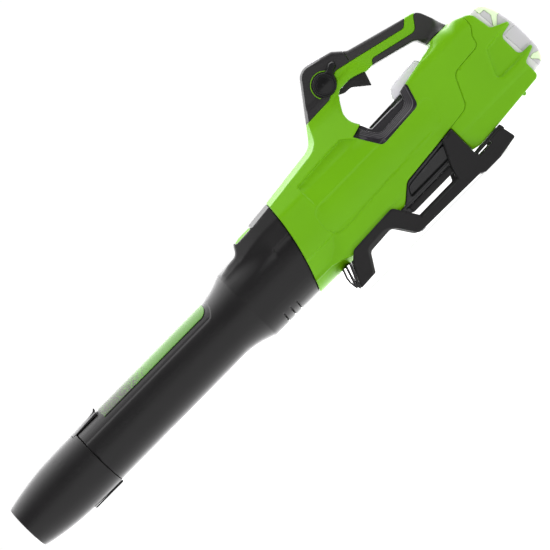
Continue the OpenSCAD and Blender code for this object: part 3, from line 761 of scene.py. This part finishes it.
def build_trigger():
    g = half_grid(227, 279, 11, 181, 217, 0.5)
    shape = round_common(g.outline(TRIGGER), span(g.y, -9, 9), 2.4)
    # a shallow finger groove across the face
    shape = cut(shape, rod_y(g, 239, 210, 2.08))
    mirrored("trigger", shape, g, BLACK, "trigger")


def build_turbo():
    g = half_grid(222, 256, 8, 248, 266, 0.4)
    u, _, w = turbo_frame(g)
    button = turbo_box(g, 13.2, 5.7, -5, 1.4, 1.1)
    ribs = np.abs(((u + 100) % 3.0) - 1.5) - 1.0
    button = np.maximum(button, (w - 1.4 + 0.45 * ramp(ribs, -0.6, 0.3)))
    mirrored("turbo_button", button, g, LAVENDER, "turbo")


def dial_dome(g, front, radius, rise):
    """A shallow dome on the dial's axis that faces the left side, its rim at y = front."""
    big = (radius * radius + rise * rise) / (2 * rise)
    back = g.y - (front + big - rise)
    ball = np.sqrt((g.x - DIAL_X) ** 2 + (g.z - DIAL_Z) ** 2 + back ** 2) - big
    return np.maximum(ball, g.y - (front + 2.0))


def build_dial():
    """The cruise dial is a domed round knob with a groove and a pointer, in a green ring."""
    g = Grid((206, -29.6, 208), (258, -5, 250), 0.4)
    r = from_axis(g, DIAL_X, DIAL_Z)
    disc = round_common(r - 15.6, span(g.y, -26.6, -19.4), 1.6)
    dome = dial_dome(g, -25.4, 11.4, 3.4)
    groove = np.sqrt((r - 12.6) ** 2 + (g.y + 26.9) ** 2) - 0.8
    arm = g.outline([
        (226, 242.2, 0), (238.6, 238.2, 6), (247.6, 243.4, 5), (254.6, 241.4, 3.2),
        (253, 233.4, 3), (244.8, 231.4, 8), (238.5, 218, 0),
    ])
    bevel = arm * 0.85 + (-26.2 - g.y) * 0.53 + 1.5
    pointer = common(arm, span(g.y, -26.2, -20.5), bevel)
    knob = blend_union(disc, pointer, 1.2)
    knob = cut(blend_union(knob, dome, 0.8), groove)
    knob = np.minimum(knob, rod_y(g, DIAL_X, DIAL_Z, 5.1, -20, -6))
    carved("cruise_dial", knob, g, GLOSS_KNOB, "cruise")

    g = Grid((203, -21.6, 205), (246, -18.6, 248), 0.35)
    off_middle = np.abs(from_axis(g, DIAL_X, DIAL_Z) - 18.3)
    band = round_common(off_middle - 0.65, span(g.y, -20.9, -19.0), 0.5)
    carved("dial_ring", band, g, GREEN)


# ---- The saddle insert and the battery release ----

LATCH_SHAPE = [
    (273.6, 147.6, 2), (274.6, 155, 8), (280, 162.4, 6), (288, 164.8, 7), (330, 167.2, 6),
    (334.6, 158.6, 4), (324, 154.2, 2), (298.4, 152.6, 3), (292.4, 143.4, 8), (291, 135.4, 1),
    (288, 135, 1), (284.6, 145.6, 3),
]


def line_distance(g, a, b):
    """Distance to the left of a side-view line from a to b."""
    ex, ez = b[0] - a[0], b[1] - a[1]
    length = math.hypot(ex, ez)
    return ((g.z - a[1]) * ex - (g.x - a[0]) * ez) / length


def smooth_max(a, b, k):
    h = np.maximum(k - np.abs(a - b), 0) / k
    return np.maximum(a, b) + h * h * (k / 4)


def build_saddle():
    g = half_grid(197, 303, 60, 113, 164, 0.4)
    edge = g.outline(VALLEY) - 0.8
    hole = g.outline(HAND_HOLE)
    # the green body narrows upward round the valley
    side_face = -g.y - (BODY_HALF - 0.004 * np.maximum(g.z - 112, 0) ** 2)
    # depth below the side face, as it grows with the distance in from the valley's three walls
    front, bottom, back = (line_distance(g, *VALLEY[k : k + 2]) for k in range(3))
    inward = -smooth_max(smooth_max(-front, -bottom, 9), -back, 9)
    step = np.clip((inward - 4.6) / 2.1, 0, 4)
    stair = np.floor(step) + np.clip(2 * (step - np.floor(step)) - 1, 0, 1)
    deep = 1.0 + 1.9 * np.clip((inward - 2.9) / 1.6, 0, 1) + 1.15 * stair
    terraces = np.maximum((side_face + deep) * 0.5, outside(g) + 1.0)
    body = np.maximum(edge, terraces)
    # the plateau between the terraces: a plain wall under a sloping saddle
    ribs = 0.6 * ramp(np.abs((g.x % 2.8) - 1.4), 0.3, 0.9) * ramp(g.x, 263, 265)
    wide = np.abs(g.y)
    saddle_z = 149.4 - 0.8 * np.clip(wide - 20.5, 0, 6.5) - 0.45 * np.maximum(wide - 27, 0) - ribs
    saddle_z = saddle_z + 14 * (1 - ramp(g.x, 219, 227))
    wall = np.maximum(12.2 - inward, -g.y - 30.5)
    plateau = round_common(wall, (g.z - saddle_z) * 0.97, 0.9)
    body = cut(body, 12.4 - inward)
    body = np.minimum(body, plateau)
    body = round_cut(body, hole, 0.8)
    body = cut(body, box(g, 268, 310, -15.6, 15.6, 132.8, 180))
    body = cut(body, pack_space(g, 0.8), box(g, 232, 282, -24, 24, 110, 139, 1))
    mirrored("saddle_vent", body, g, VENT_BLACK, adapt=0.0)


def build_release():
    g = half_grid(270, 338, 15, 133, 170, 0.5)
    shape = round_common(g.outline(LATCH_SHAPE), span(g.y, -14, 14), 3.0)
    shape = cut(shape, rod_y(g, 328, 158, 1.58))
    mirrored("battery_release", shape, g, LAVENDER, "battery_latch")


# ---- Tube and nozzle ----


def nozzle_at(u):
    """A point of the nozzle's profile, from its mouth at u = 0 to its root at u = 1."""
    x = NOZZLE_X[0] + (NOZZLE_X[1] - NOZZLE_X[0]) * u
    return x, NOZZLE_R[0] + (NOZZLE_R[1] - NOZZLE_R[0]) * (1 - (1 - u) ** 2.8)


def build_tube():
    g = half_grid(-371, 70, 58, 40, 178, 1.0)
    r = tube_radius(g)
    flare_x = np.linspace(-92, -49, 15)
    u = (flare_x + 92) / 43
    flare_r = TUBE_R + (COLLAR_R - TUBE_R) * (0.35 * u + 0.65 * u * u)
    outer = [(-369, 38), (-369, 41.9), (-323.7, 41.9), (-323.7, TUBE_R)]
    outer += list(zip(flare_x, flare_r)) + [(90, COLLAR_R), (90, 20), (-369, 20)]
    inner = [(-380, 10), (-380, 39.6), (-91, 40.6)]
    inner += [(x + 2, q - 2.8) for x, q in zip(flare_x[1:], flare_r[1:])]
    inner += [(-30, DUCT_R + 0.08), (100, DUCT_R + 0.08), (100, 10)]
    shell = revolve(g, outer)
    # the block rises out of the round collar and widens to the housing's square shoulders
    profile = g.outline([
        (-46, 120, 0), (-43, 148, 0), (-30, 152.4, 8), (-14, 154, 12), (-5.8, 166.4, 2.4),
        (16, 168.6, 4), (90, 176.2, 0), (90, 120, 0),
    ])
    sides = g.front(rounded([
        (-53.6, 100, 0), (-53.4, 128, 60), (-51.6, 148, 14), (-30, 184, 0), (30, 184, 0),
        (51.6, 148, 14), (53.4, 128, 60), (53.6, 100, 0),
    ]))
    sides = sides + 20 * (1 - ramp(g.x, -44, 34)) * ramp(g.z, 100, 140)
    block = round_common(profile, sides, 3.0)
    # a broad flat bevel runs along both top edges of the block behind the lever
    bevel = steep(profile, sides) + 5.2 * ramp(g.x, 20, 28)
    block = np.maximum(block, bevel)
    body = blend_union(shell, block, 9)
    seam = -g.side(seam_outline()) + 0.5
    body = round_common(body, seam, 0.8)
    body = cut(body, revolve(g, inner))
    well = box(g, -4.5, 26.5, -9.2, 9.2, 154, 190, 1.0)
    slot = box(g, 24, 42, -6.5, 6.5, 154.6, 165.4)
    body = cut(round_cut(body, well, 0.6), slot, rod_y(g, 13, 160, 1.6, -14, 14))
    # the walls beside the lever dip, so that a finger can reach it
    dip = g.outline([(-3.4, 200, 0), (-3.4, 163.6, 2), (25, 164.6, 3), (26, 200, 0)])
    body = round_cut(body, np.maximum(dip, 9.0 - np.abs(g.y)), 0.8)
    for x in (-24, -12, -1):
        slant = np.abs(g.x - x - 0.12 * (g.z - 50)) - 0.8
        body = cut(body, common(slant, COLLAR_R - 1.8 - r, span(g.z, 30, 57.5)))
    body = body + 0.6 * ramp(-decal_bed(g), 0, 1.0)
    mirrored("blower_tube", body, g, BLACK, "tube")


def decal_bed(g):
    """The shallow bed round the label, in plan, only on the upper part of the tube."""
    half, back = DECAL_HALF + 7.0, DECAL_X[1] + 7.0
    corners = [(-340, -half, 0), (-340, half, 0), (back, half, 14), (back, -half, 14)]
    return np.maximum(g.plan(rounded(corners)), (AXIS_Z + 8 - g.z))


def build_decal():
    """The label is a thin curved sheet with rounded rear corners that follows the tube."""
    rows, cols = 190, 48
    x0, x1, corner = *DECAL_X, 12.0
    points = []
    for t in np.linspace(0, 1, rows + 1):
        x = x0 + (x1 - x0) * (t + 0.5 - 0.5 * math.cos(math.pi * t)) / 2
        end = max(0.0, x - (x1 - corner))
        half = DECAL_HALF - (corner - math.sqrt(max(0.0, corner**2 - end**2)))
        turn = np.linspace(-1, 1, cols + 1) * math.asin(half / TUBE_R)
        # one ring goes across the outer face and comes back along the inner one
        ring = [(TUBE_R + 0.34, a) for a in turn] + [(TUBE_R + 0.04, a) for a in turn[::-1]]
        points += [(x, r * math.sin(a), AXIS_Z + r * math.cos(a)) for r, a in ring]
    n = 2 * (cols + 1)
    quads = []
    for first in range(0, rows * n, n):
        pairs = [(first + j, first + (j + 1) % n) for j in range(n)]
        quads += [(a, a + n, b + n, b) for a, b in pairs]
    front = [(j, j + 1, n - 2 - j, n - 1 - j) for j in range(cols)]
    quads += front + [tuple(rows * n + k for k in quad[::-1]) for quad in front]
    mesh = mesh_from("tube_decal", points, [], quads)
    piece("tube_decal", mesh, "tube", DECAL)


def build_nozzle():
    g = half_grid(-457, -282, 48, 50, 151, 0.8)
    profile = [nozzle_at(u) for u in np.linspace(0, 1, 22)]
    outer = [(NOZZLE_X[0], 20), *profile, (NOZZLE_X[1], 20)]
    # the bore is straight at both ends and follows the outside between them
    inner = [(-470, 10), (-470, 30.1), (-441, 30.1)]
    inner += [(x, r - 2.4) for x, r in profile if -438.0 < x < -373.8]
    inner += [(-370, 42.0), (-300, 42.0), (-300, 10)]
    solid = round_common(revolve(g, outer), span(g.x, *NOZZLE_X), 1.0)
    body = cut(solid, revolve(g, inner))
    body = cut(body, box(g, -330, -310, -19, 19, AXIS_Z + 36, 170))
    mirrored("nozzle_tip", body, g, BLACK, "nozzle")


def build_tongue():
    """The nozzle's spring tongue, whose raised lip a finger lifts."""
    g = half_grid(-333, -280, 21, 132, 151, 0.5)
    r = tube_radius(g)
    cone = 44.2 + 2.0 * (g.x + 329.7) / 44
    plan = common(-329.7 - g.x, g.x + 286, np.abs(g.y) - 18.7)
    tongue = round_common(np.maximum(r - cone, 43.3 - r), plan, 0.6)
    tongue = np.maximum(tongue, AXIS_Z + 36 - g.z)
    lip = g.outline([
        (-299, 142.6, 0), (-288, 144.4, 3), (-283.2, 148.6, 0.8), (-284.8, 143.2, 1),
        (-291, 141.9, 0),
    ])
    lip = round_common(lip, np.abs(g.y) - 12, 0.4)
    tongue = blend_union(tongue, lip, 1.0)
    mirrored("nozzle_latch", tongue, g, BLACK, "nozzle_tongue")


def build_wear_strip():
    g = half_grid(-379, -320, 7, 50, 57, 0.4)
    side = g.outline([(-376, 56, 0), (-373, 52.4, 2), (-325, 52.2, 2), (-323, 56, 0)])
    rib = round_common(side, np.abs(g.y) - 5, 1.0)
    rib = cut(rib, tube_radius(g) - 44.3)
    mirrored("nozzle_wear_strip", rib, g, BLACK, "nozzle")


def build_lever():
    """The tube's release lever has a bevelled crown and a nose that hooks into the housing."""
    g = half_grid(-6, 39, 10, 153, 171, 0.4)
    side = g.outline([
        (-3.8, 158, 1), (-3.8, 165.4, 2), (8, 168.6, 8), (22, 168.6, 3), (25.4, 165.8, 1),
        (25.4, 158, 1),
    ])
    lever = round_common(side, span(g.y, -8.7, 8.7), 1.2)
    crown = steep(g.z - 166.4, np.abs(g.y) - 8.7) + 2.6
    lever = np.maximum(lever, crown.astype(F))
    lever = np.minimum(lever, box(g, 20, 37, -5.5, 5.5, 158.4, 161.4))
    lever = np.minimum(lever, box(g, 33, 37, -5.5, 5.5, 155.4, 160))
    lever = cut(lever, rod_y(g, 13, 160, 1.58))
    mirrored("release_lever", lever, g, GREEN, "tube_release")


# ---- Belly: scoop, grille, guard ----


def build_scoop():
    g = half_grid(174, 287, 52, 27, 72, 0.5)
    outer = g.outline([
        (176.6, 43.2, 0), (185.6, 43.2, 0), (209.2, 63.2, 12), (286, 70.2, 1), (279, 38.6, 3),
        (187.3, 38.6, 0), (187.3, 29.2, 0), (182.6, 33.0, 0),
    ])
    inner = g.outline([(195, 20, 2), (209, 53, 8), (262, 58.0, 4), (256, 20, 3)])
    # each side is a glossy panel, sunk inside a raised rim and above a rail
    panel = g.outline([
        (197.0, 44.6, 3), (205.6, 59.0, 10), (224, 61.0, 0), (290, 67.0, 0), (290, 44.6, 0),
    ])
    sides = np.abs(g.y) - 50.6 + 4.6 * ramp(-panel, 0.0, 2.6)
    scoop = round_common(outer, sides, 0.8)
    scoop = cut(scoop, np.maximum(inner, np.abs(g.y) - 43))
    rail = g.outline([
        (184, 41.8, 0), (222, 41.6, 0), (243, 42.6, 0), (286, 43.4, 0), (286, 39.4, 0),
        (246, 39.2, 0), (222, 37.9, 0), (184, 39.2, 0),
    ])
    scoop = round_cut(scoop, np.maximum(rail, 48.4 - np.abs(g.y)), 0.8)
    scoop = cut(scoop, box(g, 212, 258, -43, 43, 50, 80))
    mirrored("intake_scoop", scoop, g, GLOSS)


def build_grille():
    g = half_grid(185, 264, 52, 27, 40, 0.6)
    plate = np.maximum(span(g.x, 187.5, 261.5), span(g.y, -50.6, 50.6))
    grille = round_common(plate, span(g.z, 29.2, 38.3), 1.0)
    for i in range(5):
        for y0, y1 in ((-46, -17.6), (-14.6, 13.8)):
            x0 = 192 + 13.4 * i
            hole = round_common(span(g.x, x0, x0 + 10.4), span(g.y, y0, y1), 1.5)
            grille = round_cut(grille, hole, 0.6)
    mirrored("intake_grille", grille, g, BLACK)


def build_guard():
    g = half_grid(65, 352, 62, -2, 74, 0.8)
    side = g.outline(GUARD)
    frame_side = round_common(side, span(g.y, -60, -51), 1.4)
    # a steep bevel under the arch and along the window's edges catches the light
    arch = (4.4 - 2.0 * ramp(g.x, 118, 104)) * ramp(g.x, 91, 96)
    arch = arch * (1 - ramp(g.x, 140, 160)) * (1 - ramp(g.z, 44.5, 46.5))
    bevel = (side - 60 - g.y) * 0.707 + arch
    frame_side = np.maximum(frame_side, np.where(arch > 0.01, bevel, -9))
    sill = 3.2 * ramp(g.x, 184, 192) * (1 - ramp(g.x, 256, 264)) * ramp(g.z, 12, 15) * (g.z < 34)
    bevel = side * 0.766 + (-60 - g.y) * 0.643 + sill
    frame_side = np.maximum(frame_side, np.where(sill > 0.01, bevel, -9))
    # a thin liner runs back under the battery housing, above a slit
    liner = g.outline([
        (296, 23.6, 0), (296, 26.4, 0), (345, 31.0, 2), (347, 22, 2), (322, 24.6, 1.2),
    ])
    liner = round_common(liner, span(g.y, -58, -51), 0.6)
    frame_side = np.minimum(frame_side, liner)
    slit = g.outline([(297.6, 20.6, 1), (320.6, 21.0, 1.5), (323, 24.6, 1.5), (299, 23.4, 1)])
    frame_side = round_cut(frame_side, slit, 0.5)
    frame_side = cut(frame_side, box(g, 60, 190, -BODY_HALF - 0.3, 0, 45.6, 80))
    bars = union(
        box(g, 176, 186, -52, 52, 5.6, 12, 1.0),
        box(g, 226, 234, -52, 52, 5.6, 11, 1.0),
        box(g, 284, 296, -52, 52, 1.4, 20, 1.0),
        box(g, 334, 343, -52, 52, 4.8, 18, 1.0),
        box(g, 186, 286, -33, -27, 6, 11, 1.0),
    )
    mirrored("intake_guard", np.minimum(frame_side, bars), g, BLACK)


SLATS = (
    [
        (69.0, 42, 0), (64.8, 31, 12), (64.0, 24, 8), (65.4, 13.4, 0), (67.2, 13.4, 0),
        (66.6, 24, 8), (67.6, 31, 12), (72.0, 42, 0),
    ],
    [(74.6, 42, 0), (65.8, 16, 0), (66.6, 12, 0), (69.0, 14, 0), (77.6, 42, 0)],
    [(81.0, 42, 0), (67.8, 12, 0), (69.0, 9, 0), (71.2, 10.4, 0), (84.6, 42, 0)],
)


def build_slats():
    g = half_grid(62, 92, 52, 7, 42, 0.35)
    slats = union(*[g.outline(slat) for slat in SLATS])
    slats = round_common(slats, span(g.y, -50.9, 50.9), 0.4)
    mirrored("guard_slats", slats, g, GLOSS)


# ---- Battery ----


PAD_MIDDLE = [
    (420, 122.6, 0), (433.4, 121.4, 4), (443.4, 131.6, 5), (470, 134.4, 0), (470, 58.4, 0),
    (452, 59, 4), (441, 64.2, 5), (430, 62, 0), (420, 66, 0),
]
PAD_UPPER = [
    (420, 126.4, 0), (431, 126, 1.5), (438.4, 137.4, 4), (436.6, 148.6, 2), (420, 148.6, 0),
]
PAD_LOWER = [(420, 61.4, 0), (434.4, 61, 1.5), (441.6, 53.6, 3), (441.4, 30, 0), (420, 30, 0)]


def pack_body(g):
    """The battery's closed outside, after its coordinates along and up."""
    x0, z0 = PACK_AT
    side = g.side([
        (x0 + x * PACK_COS - z * PACK_SIN, z0 + x * PACK_SIN + z * PACK_COS)
        for x, z in rounded(PACK)
    ])
    return *pack_axes(g), round_common(side, span(g.y, -PACK_W / 2, PACK_W / 2), 5.0)


def build_battery():
    g = half_grid(288, 457, 48, 34, 164, 0.9)
    along, up, body = pack_body(g)
    case = round_common(body, along - (PACK_L - 22), 0.15)
    room = np.maximum(span(along, 4, PACK_L - 26), span(up, 4, PACK_H - 4))
    room = round_common(room, np.abs(g.y) - (PACK_W / 2 - 3), 3)
    slots = union(*[common(np.abs(g.y - y) - 2, span(up, 30, 80), along - 9) for y in (-18, 0)])
    case = cut(case, room, slots)
    mirrored("battery_case", case, g, PALE_GREY, "battery")


def build_cap():
    """Grey pads cover the pale green end cap and leave two forked arms of it in sight."""
    g = half_grid(424, 460, 48, 38, 164, 0.6)
    along, up, body = pack_body(g)
    cap = round_common(body, (PACK_L - 21.8) - along, 0.5)
    room = common(span(along, 100, PACK_L - 15), span(up, 4, PACK_H - 4), np.abs(g.y) - 40)
    pads = union(*[g.outline(pad) for pad in (PAD_MIDDLE, PAD_UPPER, PAD_LOWER)])
    cap = round_cut(cut(cap, room), np.maximum(pads, -(body + 2.0)), 0.5)
    mirrored("battery_end_cap", cap, g, PALE_GREEN, "battery")
    panel = g.outline([(400, 107.8, 0), (453.2, 107.8, 4), (453.8, 77, 4), (400, 77, 0)])
    lip = 0.5 * (1 - ramp(np.abs(panel), 0.5, 1.1)) - 0.35 * ramp(-panel, 0.5, 1.1)
    tiles = round_common(body + 0.45 + lip, pads + 0.35, 0.7)
    tiles = common(tiles, -(body + 1.9), (PACK_L - 21.95) - along)
    mirrored("battery_end_pads", tiles, g, PAD_GREY, "battery")


# ---- Studio: metres, and strengths of light ----

LIGHT_BEHIND = 4.2
FLOOR_WHITE = 0.86
BACKDROP_WHITE = 1.02
CAMERA_AWAY = 5.2
CAMERA_ROLL = math.radians(45.45)
VIEW_WIDE = 0.715


def shown(name, data):
    """An object in the scene that isn't a piece."""
    o = bpy.data.objects.new(name, data)
    bpy.context.scene.collection.objects.link(o)
    return o


def area_light(name, at, size, power):
    """A square white light that points at the middle of the blower."""
    data = bpy.data.lights.new(name, "AREA")
    data.energy = power
    data.size = size
    o = shown(name, data)
    o.location = at
    o.rotation_euler = (Vector((0, 0, 0.1)) - Vector(at)).to_track_quat("-Z", "Y").to_euler()
    return o


def seen_white(m, strength, white):
    """The given strength as a light source, but a plain white as the picture's backdrop."""
    path = add(m, "ShaderNodeLightPath")
    mix = add(m, "ShaderNodeMix")
    mix.inputs[3].default_value = white
    link(m, path.outputs["Is Camera Ray"], mix.inputs[0])
    link(m, strength, mix.inputs[2])
    return mix.outputs[0]


def floor():
    """A plain pale floor: it glows behind the blower and stays dim on the camera's side."""
    bm = bmesh.new()
    bmesh.ops.create_grid(bm, x_segments=24, y_segments=24, size=24.0)
    mesh = bpy.data.meshes.new("studio_floor")
    bm.to_mesh(mesh)
    bm.free()
    ground = shown("studio_floor", mesh)
    paper, shader = node_material("floor_paper", (0.20, 0.20, 0.20), 0.95, specular=0.05)
    shader.inputs["Emission Color"].default_value = (1, 1, 1, 1)
    part = add(paper, "ShaderNodeSeparateXYZ")
    link(paper, add(paper, "ShaderNodeTexCoord").outputs["Object"], part.inputs["Vector"])
    glow = mapped(paper, part.outputs["Y"], -0.10, 0.14, 1.0, LIGHT_BEHIND, "SMOOTHSTEP")
    link(paper, seen_white(paper, glow, FLOOR_WHITE), shader.inputs["Emission Strength"])
    mesh.materials.append(paper)


def studio():
    """A white studio that is bright behind and above, and dim on the camera's side."""
    world = bpy.data.worlds.new("studio_world")
    bpy.context.scene.world = world
    world.use_nodes = True
    back = world.node_tree.nodes["Background"]
    back.inputs["Color"].default_value = (1.0, 0.995, 1.0, 1)
    aim = add(world, "ShaderNodeVectorMath", operation="DOT_PRODUCT")
    aim.inputs[1].default_value = (0, 0.94, 0.34)
    link(world, add(world, "ShaderNodeTexCoord").outputs["Generated"], aim.inputs[0])
    glow = mapped(world, aim.outputs["Value"], -0.18, 0.72, 0.34, LIGHT_BEHIND, "SMOOTHSTEP")
    link(world, seen_white(world, glow, BACKDROP_WHITE), back.inputs["Strength"])
    front = area_light("front", (-0.6, -4.6, 0.9), 1.6, 64)
    front.visible_glossy = False
    area_light("spark", (-0.4, -4.6, 1.35), 0.35, 3)
    area_light("overhead", (-0.8, -1.0, 4.0), 3.4, 26)
    area_light("rear_end", (4.0, -0.4, 1.2), 1.6, 30)


def camera():
    """The photograph's view: level, square to the left side, rolled an eighth of a turn."""
    data = bpy.data.cameras.new("camera")
    cam = shown("camera", data)
    data.sensor_width = 36.0
    data.lens = data.sensor_width * CAMERA_AWAY / VIEW_WIDE
    data.clip_end = 60
    right = Vector((math.cos(CAMERA_ROLL), 0, -math.sin(CAMERA_ROLL)))
    up = Vector((math.sin(CAMERA_ROLL), 0, math.cos(CAMERA_ROLL)))
    turn = Matrix((right, up, right.cross(up))).transposed().to_4x4()
    cam.matrix_world = Matrix.Translation((0.0043, -CAMERA_AWAY, 0.1002)) @ turn
    bpy.context.scene.camera = cam


# ---- The scene ----

bpy.context.scene.view_settings.view_transform = "Standard"
camera()
floor()
studio()
for build in (
    build_housing, build_bay, build_skins, build_trigger, build_turbo, build_dial,
    build_saddle, build_release, build_tube, build_decal, build_nozzle, build_tongue,
    build_wear_strip, build_lever, build_scoop, build_grille, build_guard, build_slats,
    build_battery, build_cap,
):
    build()
INNER = {
    "motor_stator": ALUMINIUM, "heat_sink": ALUMINIUM, "stator_windings": COPPER,
    "terminal_blades": COPPER, "battery_sockets": COPPER, "controller_board": BOARD,
    "cruise_sensor": BOARD, "battery_cells": CELL,
}
for name in (
    "motor_shaft", "motor_rotor", "front_bearing", "rear_bearing", "release_pin",
    "release_spring", "release_axle", "trigger_pin", "trigger_spring", "turbo_spring",
    "battery_spring", "guard_bolts", "housing_screws",
):
    INNER[name] = STEEL
# the CAD's inner pieces stay in the scene, each in its own material
for name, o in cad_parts.items():
    if not o.hide_render:
        o.data.materials.clear()
        o.data.materials.append(INNER.get(name, DIM_BLACK))
